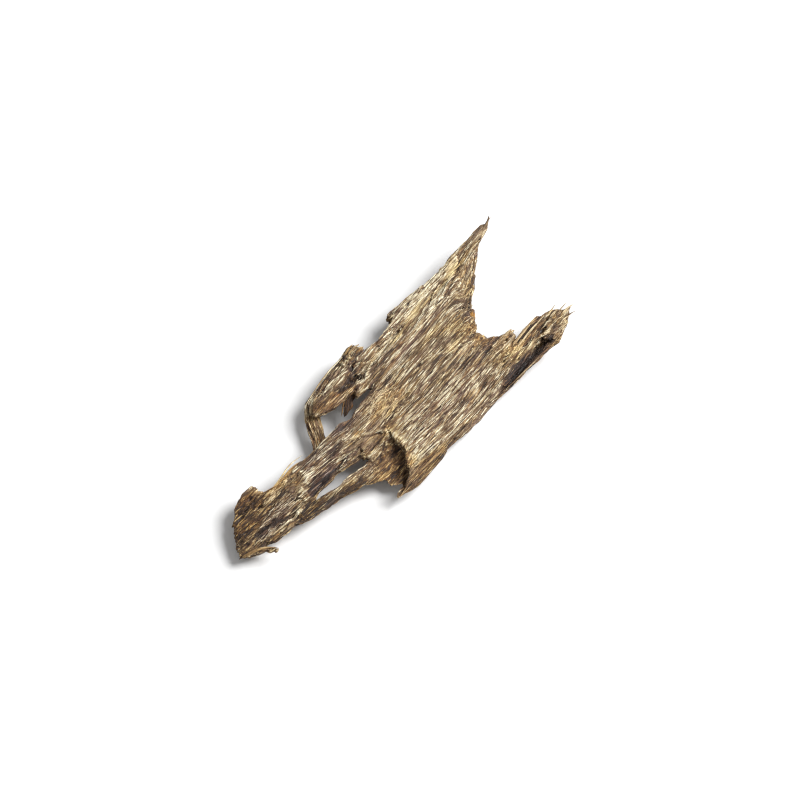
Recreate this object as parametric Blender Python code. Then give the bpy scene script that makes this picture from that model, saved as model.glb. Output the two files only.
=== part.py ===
"""One piece of agarwood: a weathered splinter of resin-filled wood, hollowed underneath.

The wood is one grown piece, so it is one solid. Its grain runs along X, towards the spike, and Y runs
across the grain. It lies on the floor at Z = 0, hollow side down, on two lips and on the heel of its tail.
Sizes below are in millimetres, and the mesh is in metres.
"""

import bpy
import bmesh
import numpy as np
from mathutils import Vector
from mathutils.geometry import delaunay_2d_cdt

MM = 0.001
NODE = "agarwood_piece"

# Driving dimensions
EDGE_PITCH = 1.2  # distance between points along a broken edge
GRID_ALONG, GRID_ACROSS = 2.4, 1.05  # distance between points inside, along and across the grain
SPLINTER_BITE = 0.8  # how far a cross-grain break jumps back and forth along the grain
EDGE_REACH = 3.0  # how far in from a broken edge the wood thins
EDGE_SHARE = 0.5  # share of the thickness that is left at a broken edge
WALL_ROUGHNESS = 0.45  # how far the layers stand in and out on a broken edge
GROOVE_DEPTH = 0.6  # depth of the long grooves that weather leaves along the grain
LEDGE_HEIGHT = 0.45  # height of the ledges where thin layers have split off
UNDERSIDE_DEPTH = 0.8
RECESS_DROP = 3.0  # thickness of the layer that has flaked off beside the tail
RECESS_END = -33.0  # where along the strand that layer's scar has run out
LEAST_THICKNESS = 0.6
FLOOR_BLOCK = 150.0  # side of the block that stands for the floor

# Spot heights: x, y, height of the upper surface, thickness of the wood
SPOTS = (
    (55, 16.5, 8.5, 0.9),  # tip of the spike
    (45, 16.0, 9.5, 2.0),
    (37, 14.5, 10.2, 3.0),
    (41.5, 10.5, 8.4, 2.0),
    (28, 15.5, 9.0, 3.2),  # shoulder below the spike
    (16, 17.5, 7.4, 2.0),
    (27.5, 7.0, 10.4, 3.4),
    (28.5, 1.5, 9.0, 2.6),
    (14.5, 3.5, 10.6, 3.8),  # middle of the body
    (21, -7.0, 9.8, 3.4),
    (28, -13.0, 8.8, 2.8),
    (37.5, -14.5, 8.6, 2.4),
    (45.5, -17.0, 7.6, 1.3),  # tip of the right arm
    (22, -18.0, 7.2, 2.8),  # long right edge
    (10.5, -18.0, 6.6, 3.0),
    (-2.5, -18.0, 6.4, 3.0),
    (2.5, -9.5, 9.4, 4.4),
    (0.5, 7.0, 9.6, 3.4),
    (-12, -4.0, 9.6, 5.2),
    (-11, -14.5, 8.0, 4.8),
    (-16.5, -17.5, 6.2, 3.4),
    (-23.5, -17.5, 4.6, 1.6),  # tip of the tongue
    (0.5, 17.0, 8.4, 2.2),
    (-7.5, 15.5, 7.4, 2.6),
    (-17.5, 17.5, 5.6, 2.2),  # tip of the left arm
    (-20, 1.5, 9.4, 4.6),
    (-30, 2.0, 8.8, 4.6),  # along the tail
    (-40.5, 2.5, 8.0, 4.6),
    (-50, 3.5, 7.0, 4.8),
    (-52.5, 10.0, 5.6, 3.6),
    (-60, 2.5, 4.4, 2.6),
    (-48.5, -1.5, 5.6, 3.2),
    (-34, -6, 7.0, 5.4),  # strand below the tail
    (-26, -8, 7.6, 6.0),
)

# The broken outline, anticlockwise from the tip of the spike
SPIKE_BACK = (
    (55, 16.5), (53.5, 17), (47, 17), (34, 16), (15, 18.5),
)
SHOULDER = (
    (15, 16.5), (13, 15.5), (6.5, 15), (1.5, 15.5),
)
LEFT_ARM = (
    (2.5, 17.5), (2, 19.5), (0, 20), (-6, 19), (-18, 18.5), (-20.5, 13), (-15, 10.5), (-13, 10.5),
    (-8.5, 9.5), (-9.5, 8), (-6, 7.5), (-5, 6.5),
)
TAIL_BACK = (
    (-5.5, 6), (-13.5, 5.5), (-15.5, 4.5), (-19.5, 6.5), (-21, 6), (-25.5, 6.5), (-30, 6), (-34, 7),
    (-39.5, 7), (-42, 7), (-45.5, 8.5), (-46, 12), (-49, 12.5), (-53, 11.5),
)
TAIL_END = (
    (-56, 9), (-60.5, 4), (-61.5, 2), (-54.5, -4.5), (-54, -4), (-55.5, -0.5), (-54.5, -0.5),
)
STRAND = (
    (-53, -2.5), (-47, -3), (-43, -5), (-39.5, -5.5), (-27, -9), (-24, -10.5),
)
TONGUE = (
    (-23, -11), (-21.5, -16.5), (-24, -17.5), (-18, -19.5), (-7, -19), (-5, -18),
)
RIGHT_EDGE = (
    (-2, -18), (1, -18.5), (16, -17.5), (21.5, -18), (33.5, -16.5), (35.5, -17.5),
)
RIGHT_ARM = (
    (37, -19.5), (38, -21), (43.5, -19), (47, -17), (44.5, -16), (43, -14), (39, -12), (29.5, -13.5),
)
INNER_CORNER = (
    (28.5, -12.5), (30, -12), (31.5, -10), (27.5, -8.5), (25.5, -7), (24.5, -3.5), (27.5, -0.5),
)
SPIKE_FRONT = (
    (29, 2), (45.5, 13), (54.5, 16),
)
OUTLINE = (
    SPIKE_BACK + SHOULDER + LEFT_ARM + TAIL_BACK + TAIL_END + STRAND + TONGUE + RIGHT_EDGE + RIGHT_ARM
    + INNER_CORNER + SPIKE_FRONT
)
# The opening between the tail and the strand below it
STRAND_HOLE = (
    (-21, -5.5), (-22, -4), (-29.5, -2), (-31.5, -2.5), (-36, -2), (-39.5, -3), (-38, -3.5), (-32.5, -5),
    (-24, -5.5),
)
# The patch beside the tail where the upper layer has flaked off, drawn past the outline
RECESS = (
    (-12.5, -4.5), (-15.5, -3), (-18.5, -2), (-22, -3), (-31, -4), (-34, -9), (-26, -14),
    (-24.5, -16), (-20, -17), (-17.5, -16.5), (-16, -14), (-14, -12), (-13, -10), (-13.5, -8),
    (-13, -6.5),
)
# Long crests and furrows of the upper side: two ends, height, half width
CRESTS = (
    ((56, 17), (30, 9), 1.1, 3.0),  # crest of the spike
    ((28, 16.5), (47, 17), -0.7, 1.1),  # ledge along the back of the spike
    ((-2, 17), (-17, 15), 0.8, 2.5),  # crest of the left arm
    ((-3, 11.5), (13, 13), -1.6, 1.7),  # furrow between the left arm and the body
    ((-57, 4), (-22, 3), 1.0, 2.5),  # crest of the tail
    ((-46, -1.5), (-27, -1), -1.6, 1.8),  # steep side of the tail
    ((46, -17), (32, -15), 0.6, 1.5),
    ((33, -13.5), (43, -15), -0.9, 1.0),  # split in the right arm
    ((-20, -16), (6, -14), 0.7, 2.5),
    ((26, -4), (8, 1), -0.7, 2.5),  # dip that runs in from the inner corner
)
# Rot pits in the upper side: x, y, length, width, depth
PITS = (
    (-2, 14, 3.4, 1.3, 1.6),
    (4.5, 13, 2.6, 1.1, 1.5),
    (-6.5, 12.5, 3.0, 1.0, 1.3),
    (9.5, 13.5, 2.2, 0.9, 1.1),
    (26, -1.5, 2.0, 1.0, 1.1),
    (27.5, -11, 2.4, 1.0, 1.0),
    (-49, 6.5, 2.8, 1.2, 1.3),
    (-41.5, 1, 2.4, 1.0, 1.2),
    (36.5, -16.5, 2.6, 0.8, 0.9),
)
# Lips that stay under the hollow and carry the piece: half width, then x, y and lower edge along each.
# An edge below zero is cut flat by the floor.
LIPS = (
    (1.1, ((-9, -17, 4.2), (1, -17.5, 2.6), (7, -17.5, 0.9), (10, -17, -0.7), (15, -17, -0.4),
           (18.5, -16.5, 1.4), (23, -16.5, -0.6), (27, -16, -0.5), (31, -15.5, 2.0), (35, -15.5, 4.4))),
    (1.1, ((12, 15, 4.6), (16, 15.5, 1.6), (18.5, 16, -0.6), (22, 15.5, -0.6), (25.5, 15, 1.7),
           (30, 15, -0.7), (34, 15, 0.4), (38, 15.5, 3.2), (43, 16, 5.8))),
    (1.8, ((-60, 3, 2.0), (-57, 3.5, -0.5), (-52, 3.5, -0.8), (-48, 4.5, 0.3), (-43, 4, 3.0))),
)
LIP_FLARE = 3.8  # width over which a lip runs out into the hollow

# The lower layer that shows past the right arm as a gutter with a thin raised rim
GUTTER = (
    (13.5, -15.5), (15.5, -18.5), (30, -20), (34, -20), (37.5, -21), (40, -20), (40.5, -18), (36, -15),
    (26, -14),
)
GUTTER_FLOOR, GUTTER_RIM, GUTTER_THICKNESS = 3.0, 5.4, 1.2
GUTTER_RISE = 0.12  # how much higher it gets per millimetre towards the end of the arm

# The curled strip that runs from the end of the left arm down to the tail: x, y, height, half width
STRIP = (
    (-15.5, 16.5, 4.9, 1.4),
    (-18.5, 16, 4.8, 1.7),
    (-21, 13.5, 4.2, 1.8),
    (-22.5, 11, 3.6, 1.8),
    (-24, 8.5, 3.4, 1.9),
    (-26, 6, 4.2, 1.6),
    (-27.5, 3.5, 5.0, 1.2),
)
STRIP_THICKNESS = 1.1


def value_noise(x, y, seed):
    """Smooth noise from -1 to 1 with one random value at each whole number of x and y."""
    x, y = np.broadcast_arrays(np.asarray(x, float), np.asarray(y, float))
    column, row = np.floor(x).astype(int), np.floor(y).astype(int)
    u, v = x - column, y - row
    u, v = u * u * (3 - 2 * u), v * v * (3 - 2 * v)
    lattice = np.random.default_rng(seed).uniform(-1, 1, (64, 64))
    near = lattice[column % 64, row % 64] * (1 - u) + lattice[(column + 1) % 64, row % 64] * u
    far = lattice[column % 64, (row + 1) % 64] * (1 - u) + lattice[(column + 1) % 64, (row + 1) % 64] * u
    return near * (1 - v) + far * v


def eased(share):
    """A share from 0 to 1 with a soft start and end."""
    share = np.clip(share, 0, 1)
    return share * share * (3 - 2 * share)


def bent_sheet(places, values):
    """The function of x and y for a thin springy sheet bent through the values at the places."""
    places = np.asarray(places, float)
    scale, give = 50.0, 0.02

    def kernel(points):
        r = np.linalg.norm(points[:, None] - places[None], axis=2) / scale
        return r * r * np.log(np.maximum(r, 1e-9))

    def plane(points):
        return np.c_[np.ones(len(points)), points / scale]

    count = len(places)
    system = np.block([
        [kernel(places) + give * np.eye(count), plane(places)],
        [plane(places).T, np.zeros((3, 3))],
    ])
    weights = np.linalg.solve(system, np.r_[np.asarray(values, float), np.zeros(3)])

    def height(points):
        return kernel(points) @ weights[:count] + plane(points) @ weights[count:]

    return height


def distance_to_line(points, ends):
    """How far each point is from the straight line between two ends."""
    a, b = (np.asarray(end, float) for end in ends)
    t = np.clip((points - a) @ (b - a) / ((b - a) @ (b - a)), 0, 1)
    return np.linalg.norm(points - a - t[:, None] * (b - a), axis=1)


def along_polyline(points, line):
    """The distance from each point to a line of x, y and height, and the height of the nearest place."""
    line = np.asarray(line, float)
    nearest = np.full(len(points), np.inf)
    height = np.zeros(len(points))
    for a, b in zip(line, line[1:]):
        run = (b - a)[:2]
        t = np.clip((points - a[:2]) @ run / (run @ run), 0, 1)
        away = np.linalg.norm(points - a[:2] - t[:, None] * run, axis=1)
        closer = away < nearest
        nearest[closer] = away[closer]
        height[closer] = (a[2] + t * (b[2] - a[2]))[closer]
    return nearest, height


def distance_to_loops(points, loops):
    sides = [(loop[i - 1], loop[i]) for loop in loops for i in range(len(loop))]
    return np.min([distance_to_line(points, side) for side in sides], axis=0)


def inside(points, loop):
    """Whether each point lies inside a closed loop."""
    hit = np.zeros(len(points), bool)
    for (ax, ay), (bx, by) in zip(loop, np.roll(loop, -1, axis=0)):
        spans = (ay > points[:, 1]) != (by > points[:, 1])
        with np.errstate(divide="ignore", invalid="ignore"):
            cross = ax + (points[:, 1] - ay) * (bx - ax) / (by - ay)
        hit ^= spans & (points[:, 0] < cross)
    return hit


def splintered(loop, seed, pitch=EDGE_PITCH, bite=SPLINTER_BITE):
    """The loop with points every pitch, its cross-grain breaks jagged along the grain."""
    loop = np.asarray(loop, float)
    result = []
    for start, end in zip(loop, np.roll(loop, -1, axis=0)):
        run = end - start
        steps = max(1, round(float(np.linalg.norm(run)) / pitch))
        across = abs(run[1]) / np.linalg.norm(run)
        for step in range(steps):
            point = start + run * step / steps
            jag = float(value_noise(point[0] * 0.4, point[1] * 1.9, seed))
            sway = float(value_noise(point[0] * 0.5, point[1] * 0.7, seed + 1))
            result.append(point + np.array([bite * across * jag, 0.3 * bite * sway]))
    return np.array(result)


def grid_inside(loops, along, across, clearance):
    """Points in rows along the grain, inside the first loop and outside the others."""
    low = np.floor(loops[0].min(axis=0) / (along, across)) * (along, across)
    high = loops[0].max(axis=0)
    rows = np.arange(low[1], high[1], across)
    columns = np.arange(low[0], high[0], along)
    grid = np.array([(x, y) for y in rows for x in columns])
    keep = inside(grid, loops[0]) & (distance_to_loops(grid, loops) > clearance)
    for hole in loops[1:]:
        keep &= ~inside(grid, hole)
    return grid[keep]


def triangulated(loops, grid):
    """Points and triangles of the plan, with the loops as its edges."""
    points, edges = [], []
    for loop in loops:
        first = len(points)
        points += [Vector(p) for p in loop]
        edges += [(first + i, first + (i + 1) % len(loop)) for i in range(len(loop))]
    points += [Vector(p) for p in grid]
    found = delaunay_2d_cdt(points, edges, [], 0, 1e-5)
    plan = np.array([tuple(p) for p in found[0]])
    triangles = np.array(found[2])
    middles = plan[triangles].mean(axis=1)
    keep = inside(middles, loops[0])
    for hole in loops[1:]:
        keep &= ~inside(middles, hole)
    return plan, triangles[keep]


def rim_of(triangles):
    """The directed edges that only one triangle has, so that the plan lies on their left."""
    sides = [tuple(side) for t in triangles for side in ((t[0], t[1]), (t[1], t[2]), (t[2], t[0]))]
    known = set(sides)
    return [side for side in sides if (side[1], side[0]) not in known]


def outward(plan, rim):
    """The outward direction in the plan at each point of the rim."""
    direction = np.zeros_like(plan)
    for a, b in rim:
        run = plan[b] - plan[a]
        normal = np.array([run[1], -run[0]]) / max(np.linalg.norm(run), 1e-9)
        direction[a] += normal
        direction[b] += normal
    length = np.maximum(np.linalg.norm(direction, axis=1, keepdims=True), 1e-9)
    return direction / length


def linked(name, mesh):
    """A scene object made from a finished bmesh."""
    data = bpy.data.meshes.new(name)
    mesh.to_mesh(data)
    mesh.free()
    made = bpy.data.objects.new(name, data)
    bpy.context.scene.collection.objects.link(made)
    return made


def slab(name, loops, upper, lower, along=GRID_ALONG, across=GRID_ACROSS, levels=(0.5,), roughness=0.0):
    """A closed solid between two surfaces over a plan, its edge wall rough at the given levels."""
    loops = [np.asarray(loop, float) for loop in loops]
    plan, triangles = triangulated(loops, grid_inside(loops, along, across, 0.45 * across))
    rim = rim_of(triangles)
    depth = distance_to_loops(plan, loops)
    top = upper(plan, depth)
    bottom = np.minimum(lower(plan, depth), top - LEAST_THICKNESS)
    away = outward(plan, rim)
    mesh = bmesh.new()
    tops = [mesh.verts.new((x * MM, y * MM, z * MM)) for (x, y), z in zip(plan, top)]
    bottoms = [mesh.verts.new((x * MM, y * MM, z * MM)) for (x, y), z in zip(plan, bottom)]
    rings = [dict(enumerate(tops))]
    for number, level in enumerate(levels):
        ring = {}
        for i in {a for a, _ in rim}:
            stand = roughness * float(value_noise(plan[i, 0] * 0.35, plan[i, 1] * 0.9, 50 + number))
            x, y = plan[i] + away[i] * stand * min(1, (top[i] - bottom[i]) / 3)
            ring[i] = mesh.verts.new((x * MM, y * MM, (top[i] + (bottom[i] - top[i]) * level) * MM))
        rings.append(ring)
    rings.append(dict(enumerate(bottoms)))
    for a, b, c in triangles:
        mesh.faces.new((tops[a], tops[b], tops[c]))
        mesh.faces.new((bottoms[c], bottoms[b], bottoms[a]))
    for high, low in zip(rings, rings[1:]):
        for a, b in rim:
            mesh.faces.new((high[b], high[a], low[a], low[b]))
    bmesh.ops.recalc_face_normals(mesh, faces=mesh.faces)
    return linked(name, mesh)


def grooves(points, depth, seed):
    """Long weathered grooves along the grain, in three sizes. The finest follow the rows of points."""
    x, y = points[:, 0], points[:, 1]
    broad = value_noise(x / 30, y / 4.2, seed)
    middle = value_noise(x / 17, y / (2 * GRID_ACROSS), seed + 1)
    fine = value_noise(x / 9, y / GRID_ACROSS, seed + 2)
    return depth * (0.5 * broad + 0.4 * middle + 0.45 * fine)


SURFACE = bent_sheet([spot[:2] for spot in SPOTS], [spot[2] for spot in SPOTS])
THICKNESS = bent_sheet([spot[:2] for spot in SPOTS], [spot[3] for spot in SPOTS])


def wood_top(points, depth):
    """The weathered upper side."""
    height = SURFACE(points) + grooves(points, GROOVE_DEPTH, 3)
    layer = value_noise(points[:, 0] / 24, points[:, 1] / 3.4, 23)
    height += LEDGE_HEIGHT * (eased(0.5 + layer / 0.2) - 0.5)
    for start, end, rise, half_width in CRESTS:
        height += rise * eased(1 - distance_to_line(points, (start, end)) / half_width)
    return height - 0.35 * np.clip(1 - depth / 0.9, 0, 1) ** 2


def wood_bottom(points, depth):
    """The underside: hollow, thin at the broken edges, with the lips that reach the floor."""
    inward = np.clip(depth / EDGE_REACH, 0, 1)
    share = EDGE_SHARE + (1 - EDGE_SHARE) * inward * (2 - inward)
    thickness = np.maximum(THICKNESS(points) * share, LEAST_THICKNESS)
    under = SURFACE(points) - thickness + grooves(points, UNDERSIDE_DEPTH, 11)
    rough = 0.4 * value_noise(points[:, 0] / 2.7, points[:, 1] / 1.6, 17)
    for half_width, line in LIPS:
        away, foot = along_polyline(points, line)
        share = eased(1 + (half_width - away) / LIP_FLARE)
        under += np.minimum(foot + rough - under, 0) * share
    return under


def cut(target, cutter):
    """Takes the cutter's shape out of the target."""
    cutter.hide_render = True
    cutter.display_type = "WIRE"
    boolean = target.modifiers.new("cut " + cutter.name, "BOOLEAN")
    boolean.operation = "DIFFERENCE"
    boolean.object = cutter


def fuse(target, other):
    """Joins the other shape to the target, as one grown piece."""
    other.hide_render = True
    other.display_type = "WIRE"
    boolean = target.modifiers.new("fuse " + other.name, "BOOLEAN")
    boolean.operation = "UNION"
    boolean.object = other


def sky(points, depth):
    """A height above all of the wood, for the cutters."""
    return np.full(len(points), 16.0)


def recess_cutter():
    """The space that the flaked layer has left beside the tail, open above."""
    def floor(points, depth):
        runout = eased((points[:, 0] - RECESS_END) / 16)
        return wood_top(points, np.full(len(points), 9.0)) - RECESS_DROP * runout

    return slab("recess", [splintered(RECESS, 21, bite=0.5)], sky, floor)


def pit_cutter(number, x, y, length, width, depth):
    """A small hollow, long along the grain, sunk into the upper side."""
    mesh = bmesh.new()
    bmesh.ops.create_icosphere(mesh, subdivisions=2, radius=1.0)
    for corner in mesh.verts:
        swell = 1 + 0.25 * float(value_noise(corner.co.x * 2 + number * 3, corner.co.y * 2, 71))
        corner.co *= swell
    bmesh.ops.scale(mesh, verts=mesh.verts, vec=(length / 2 * MM, width / 2 * MM, depth * MM))
    level = wood_top(np.array([[x, y]], float), np.array([9.0]))[0] + 0.2 * depth
    bmesh.ops.translate(mesh, verts=mesh.verts, vec=(x * MM, y * MM, level * MM))
    return linked(f"pit {number}", mesh)


def gutter():
    """The lower layer under the right arm: a shallow trough with a raised rim."""
    def top(points, depth):
        outside = np.clip((-16.8 - points[:, 1]) / 2.6, 0, 1)
        rise = GUTTER_RISE * np.maximum(points[:, 0] - 22, 0)
        return GUTTER_FLOOR + (GUTTER_RIM - GUTTER_FLOOR) * outside**2 + rise

    def bottom(points, depth):
        return top(points, depth) - GUTTER_THICKNESS - 0.3 * np.clip(depth, 0, 1)

    return slab("gutter", [splintered(GUTTER, 31, bite=0.4)], top, bottom, across=0.9)


def curled_strip():
    """The ribbon of wood from the left arm's end to the tail, crowned across its width."""
    line = np.array(STRIP, float)
    run = np.gradient(line[:, :2], axis=0)
    side = np.c_[-run[:, 1], run[:, 0]] / np.linalg.norm(run, axis=1, keepdims=True)
    left = line[:, :2] + side * line[:, 3:4]
    right = line[:, :2] - side * line[:, 3:4]
    loop = splintered(np.vstack([left, right[::-1]])[::-1], 41, bite=0.3)
    centre = bent_sheet(line[:, :2], line[:, 2])

    def top(points, depth):
        return centre(points) + 0.35 * np.clip(depth, 0, 1.6)

    def bottom(points, depth):
        return centre(points) - STRIP_THICKNESS + 0.3 * np.clip(depth, 0, 1.6)

    return slab("strip", [loop], top, bottom, along=1.8, across=0.9)


def floor_block():
    """A block whose upper face is the floor that the piece rests on."""
    mesh = bmesh.new()
    bmesh.ops.create_cube(mesh, size=FLOOR_BLOCK * MM)
    bmesh.ops.translate(mesh, verts=mesh.verts, vec=(0, 0, -FLOOR_BLOCK / 2 * MM))
    return linked("floor", mesh)


def wood_material():
    material = bpy.data.materials.new("agarwood")
    material.use_nodes = True
    shader = material.node_tree.nodes["Principled BSDF"]
    shader.inputs["Base Color"].default_value = (0.21, 0.13, 0.068, 1.0)
    shader.inputs["Roughness"].default_value = 0.72
    shader.inputs["Metallic"].default_value = 0.0
    return material


def centre_on_origin(piece):
    """Moves the piece with its cutters so that the middle of its box is over the origin."""
    bpy.context.view_layer.update()
    shape = piece.evaluated_get(bpy.context.evaluated_depsgraph_get()).data
    corners = np.array([vertex.co for vertex in shape.vertices])
    middle = (corners.min(axis=0) + corners.max(axis=0)) / 2
    for thing in bpy.data.objects:
        thing.location = (-middle[0], -middle[1], 0)


def main():
    for old in list(bpy.data.objects):
        bpy.data.objects.remove(old)
    loops = [splintered(OUTLINE, 7), splintered(STRAND_HOLE, 8, bite=0.3)]
    wood = slab(NODE, loops, wood_top, wood_bottom, levels=(0.2, 0.45, 0.75), roughness=WALL_ROUGHNESS)
    cut(wood, recess_cutter())
    for number, pit in enumerate(PITS):
        cut(wood, pit_cutter(number, *pit))
    fuse(wood, gutter())
    fuse(wood, curled_strip())
    cut(wood, floor_block())
    wood.data.materials.append(wood_material())
    centre_on_origin(wood)


main()
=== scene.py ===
"""The finished look of one weathered piece of agarwood lying on a pale floor.

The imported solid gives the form. Its surface is meshed again in small faces that are long along the
grain, and the grooves, strands and splintered breaks are worked into it. It is cut in two, an upper
side and an underside. Two more pieces hold the small slivers and the larger splinters.
The grain runs along X. Sizes are in millimetres until a mesh is made, and the scene is in metres.
"""

import math

import bpy
import numpy as np
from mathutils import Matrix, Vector
from mathutils.bvhtree import BVHTree


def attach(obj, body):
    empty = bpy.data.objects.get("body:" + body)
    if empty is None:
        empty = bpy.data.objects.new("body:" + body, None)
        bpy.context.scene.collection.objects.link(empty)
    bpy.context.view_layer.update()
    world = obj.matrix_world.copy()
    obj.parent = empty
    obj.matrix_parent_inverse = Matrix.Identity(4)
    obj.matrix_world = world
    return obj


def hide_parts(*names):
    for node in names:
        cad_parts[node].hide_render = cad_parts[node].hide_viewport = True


MM = 0.001
NODE = "agarwood_piece"

# The camera looks at the middle of the piece from the photograph's side and height
TARGET = Vector((3.3, 0.4, 0.0)) * MM
AZIMUTH, ELEVATION = math.radians(-50), math.radians(60)
DISTANCE = 0.7
SENSOR, LENS = 36.0, 119.66
FILTER_WIDTH = 1.25

# The light stands to the picture's right, away from the camera and up, in these shares
KEY_RIGHT, KEY_AWAY, KEY_UP = 0.9, 0.3, 1.0
KEY_DISTANCE, KEY_SIZE, KEY_POWER = 1.5, 0.9, 42
SURROUNDINGS = 0.45

FLOOR_REACH = 3
FLOOR_GREY, FLOOR_ROUGHNESS = (0.72, 0.72, 0.72), 0.9

# The fine mesh: size of its faces across the grain, and how much longer they are along it
VOXEL = 0.16
STRETCH = 2.5
# Steps of smoothing, in shares of the way to the middle of a vertex's neighbours
MESH_SMOOTHING = [0.6, -0.63] * 7
HOOD_SMOOTHING = [0.6] * 12
WIDE_SMOOTHING = [0.7] * 16

# Every noise: its strength, the size of its cells along, across and into the grain, and its seed
NOISES = {
    "slow across": (0.7, (26, 9, 9), 1),
    "quick across": (0.14, (7, 3.2, 3.2), 2),
    "waver across": (0.07, (2.8, 1.2, 1.2), 10),
    "slow depth": (0.6, (26, 9, 9), 3),
    "quick depth": (0.14, (7, 3.2, 3.2), 4),
    "crinkle across": (1, (1.9, 1.3, 1.3), 7),
    "crinkle depth": (1, (1.9, 1.3, 1.3), 8),
    "border": (0.35, (2.6, 1.0, 1.0), 5),
    "fine border": (0.2, (1.1, 0.5, 0.5), 6),
    "drop": (0.25, (0.7, 0.7, 0.7), 9),
    "broad": (1, (22, 2.6, 2.6), 11),
    "ridge": (1, (18, 1.1, 1.1), 15),
    "strand": (1, (8, 0.5, 0.5), 12),
    "fibre": (1, (4.5, 0.32, 0.32), 13),
    "ledge": (1, (14, 1.8, 1.8), 14),
    "tear": (1, (7, 0.7, 0.7), 16),
    "nick": (1, (3, 0.6, 0.6), 17),
    "lump": (1, (0.9, 0.65, 0.65), 18),
    "small lump": (0.9, (0.45, 0.35, 0.35), 19),
    "wobble along": (0.3, (1.6, 0.8, 0.8), 51),
    "wobble across": (0.16, (1.3, 0.5, 0.5), 52),
    "carving": (0.6, (1.6, 0.8, 0.8), 53),
    "fray": (1, (1, 0.6, 0.6), 21),
    "fine fray": (0.5, (1, 0.3, 0.3), 22),
    "sliver crowd": (1, (16, 2.6, 2.6), 41),
    "splinter swell": (0.45, (2.5, 0.3, 0.3), 61),
    "splinter tone": (3, (4, 0.3, 0.3), 62),
}
LATTICE = 32
NOISE_GAIN = 1.6

# A patch ends at this many times its half size, and fades over this much before
PATCH_EDGE, PATCH_FADE = 1.35, 0.7
# Patches of the upper side: x, y, half length, half width, degrees that they turn from the grain, strength
PALE = (
    (38.7, 14.4, 4.3, 1.5, 15, 0.9),  # smooth facet on the spike
    (31.3, 11.8, 1.6, 0.8, 10, 1.1),
    (28.4, 5.9, 2.0, 0.9, 5, 0.5),
    (-8.3, -7.8, 1.0, 1.9, 0, 1.0),  # cream patch beside the flaked one
    (21.5, 12.2, 1.8, 0.7, 8, 1.5),
    (24, 13.5, 12, 3.5, 5, 0.6),
    (40, 12.5, 9, 3, 20, 0.3),
    (27, 15.5, 16, 1.6, 2, 0.8),  # rim behind the spike
    (25.5, -14.6, 1.2, 0.8, 0, 0.7),
    (2, -8, 16, 6, 0, 0.25),
    (-4, 1, 6, 4, 0, 0.65),
    (4, -13, 13, 4, 0, 0.3),
    (-6, 16, 6, 2, 12, 0.7),
    (-17, 1.6, 4, 0.8, -20, 0.5),
    (-13.5, -2.4, 3.6, 1.4, -25, 0.6),
    (-18.2, -12, 1.4, 4, 0, 0.8),  # rim of the flaked patch
    (51, 15.7, 4, 1.3, 8, 0.5),
    (-23, 5, 4, 1.5, 5, 0.45),
    (0.5, 16, 3, 2, 0, 0.5),
    (-39.5, 7, 5, 1.4, 5, 1.35),  # golden rim of the tail
    (44.5, -17, 4, 2.5, 0, 0.5),
    (-7.5, -12.3, 3.5, 3.5, 0, 0.7),
    (6, 13, 5.5, 3, 0, 0.5),
    (7, 4.3, 4, 2.5, 0, 0.55),
    (-10, -15, 2.5, 2.5, 0, 0.6),
    (17, 10.8, 4.5, 3.5, 0, 0.75),
    (29, -10.5, 4.5, 2.5, 0, 0.65),
    (23.5, -14.5, 4, 2, 0, 0.6),
    (33.5, 6, 3, 2, 30, 0.5),
    (-43, 2.5, 3, 1.5, 0, 0.4),
    (2.7, -8, 4, 2.5, 0, 0.4),
)
# Patches with little relief: the first five pale ones and three more
SMOOTH = PALE[:5] + (
    (-13.5, -2.4, 3.6, 1.4, -25, 1.0),  # hood over the flaked patch
    (-36.1, 3.8, 2.3, 1.9, 0, 1.0),
    (51.5, 15.7, 3.5, 1.2, 8, 0.7),
)
# Patches with crisp streaks
CRISP = (
    (-15, -10, 5, 5, 0, 0.8),
    (22, -11, 8, 5, 0, 0.45),
    (-40, 2, 17, 8, 5, 1.2),
    (6, -12, 20, 5, 0, 0.7),
    (0, 17, 4, 3, 0, 1.0),
)
FLAKED = ((-15, -9.5, 5, 6, 0, 1.0),)
# Darker patches: some are the wood's own dark colour, the marked ones are painted shade
DARK_AND_SHADE = (
    (-30.5, -0.3, 5.2, 1.2, -3, 1.7),  # dark purple side of the tail: its own colour and painted shade on the side wall
    (-45, 2.5, 10, 3, 5, 0.7),
    (-49, 0.5, 5, 2, 5, 0.9),
    (-44.5, 7.7, 3, 2, 0, 0.9),
    (-15, 5, 5, 2.2, 0, 0.9),
    (31, -18.1, 9, 1.5, -2, 2.3),  # gutter of the right arm: its dark wood and painted shade in it
    (1, 17.5, 3, 2.5, 0, 0.5),
    # painted shadow at the foot of the step of the flaked patch
    (-12.2, -8, 2, 4.5, 0, 0.35),
    (-24, 3, 9, 3, -3, 0.15),
    (-28, 5.3, 4, 2.2, 5, 0.6),
    (-2, 7.3, 7, 0.9, 6, 0.8),  # painted shade along the edge of the slot
    (10, 5, 9, 2.2, 4, 0.35),
    (-4, 13, 3.2, 1.2, 0, 0.6),  # painted shade in the hollow of the left arm
    (-32, -7, 13, 2.6, -20, 1.1),  # painted shade on the strand beside the tail and in the gap above it
    (-8, -18.2, 10, 1.4, 0, 0.8),  # side wall below the right edge: dark wood and painted shade
    (18.7, -8.2, 3.5, 2, 0, 0.25),
    (33, 3, 2.5, 1.5, 30, 0.35),
    (-50, 6, 7, 7, 0, 0.75),
    (44, -17, 6, 3.5, 0, 0.5),
    (-15, -10, 4, 5, 0, 0.15),  # painted shade on the floor of the flaked patch
    (-17.2, -8.2, 2.5, 3, 0, 0.7),
    (-18, -2.4, 2.5, 1.2, 0, 0.6),
    (-48.5, -2, 5, 0.9, -14, 1.3),  # painted shade on the side wall at the lower edge of the tail
)
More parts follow.
